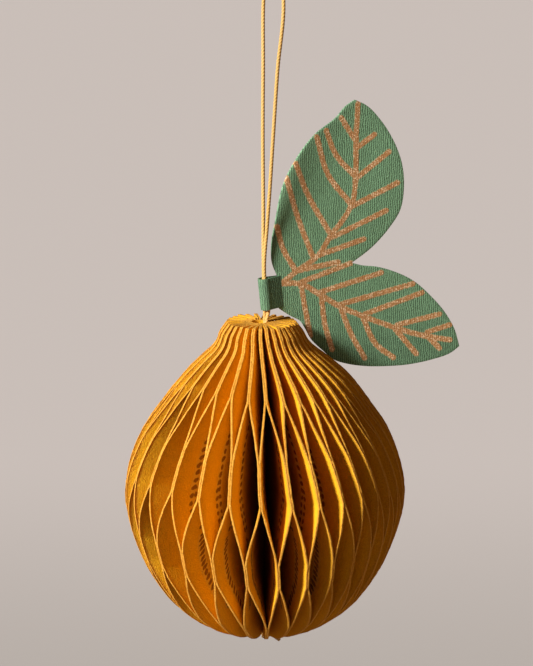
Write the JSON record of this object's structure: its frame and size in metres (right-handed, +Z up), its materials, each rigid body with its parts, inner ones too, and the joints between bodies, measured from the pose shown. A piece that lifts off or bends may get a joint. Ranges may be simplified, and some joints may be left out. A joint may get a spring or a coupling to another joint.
{
  "type": "honeycomb paper ornament",
  "caption": "Pear-shaped honeycomb paper ornament hanging from a looped cord, with a folded twin leaf gripping the cord just above it.",
  "frame": {"origin": "the hanging point, inside the top of the cord loop", "axes": "+Z up along the hanging cord, -Y the front, +X the side on which the twin leaf stands out"},
  "size_m": [0.0865, 0.0715, 0.1732],
  "materials": {
    "yellow_paper": "matte soft cotton paper, golden yellow, with fuzzy cut edges",
    "green_paper": "matte soft cotton paper, leaf green, with printed copper glitter veins",
    "yellow_cord": "smooth round cotton cord, golden yellow"
  },
  "bodies": {
    "root": {"honeycomb_body": "yellow_paper", "leaf": "green_paper", "cord": "yellow_cord", "knot": "yellow_cord"}
  },
  "joints": []
}
